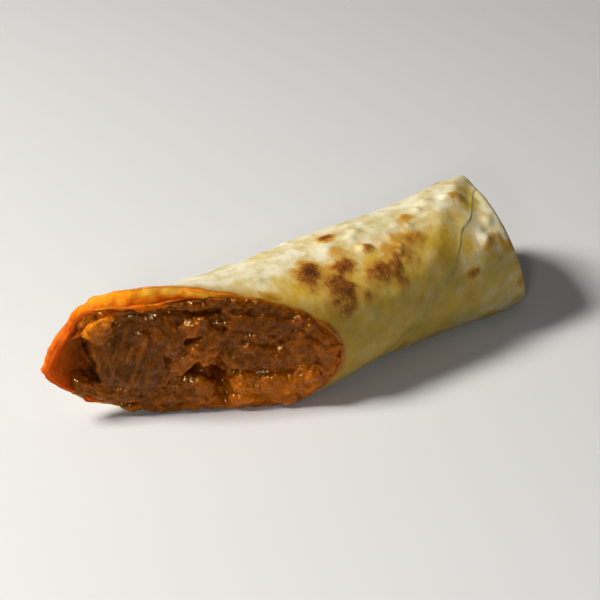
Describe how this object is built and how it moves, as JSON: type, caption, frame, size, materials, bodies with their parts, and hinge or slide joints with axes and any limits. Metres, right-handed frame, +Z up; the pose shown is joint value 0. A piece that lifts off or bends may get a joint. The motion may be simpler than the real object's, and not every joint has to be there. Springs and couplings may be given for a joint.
{
  "type": "butter chicken roll",
  "caption": "Half of a rolled flatbread wrap, cut on the slant, with a chunky saucy chicken filling showing at the cut and the far end tucked shut.",
  "frame": {"origin": "middle of the bounding box, on the flat underside that the roll lies on", "axes": "+X along the roll from the slanted cut to the tucked end, +Z up; the cut looks towards -X and -Y"},
  "size_m": [0.164, 0.0448, 0.0465],
  "materials": {
    "flatbread": "griddled wheat dough, cream with toasted brown blisters and a faint sheen of oil",
    "filling": "brown chicken pieces wet with orange tomato and butter sauce"
  },
  "bodies": {
    "root": {"flatbread": "flatbread", "filling": "filling"}
  },
  "joints": []
}
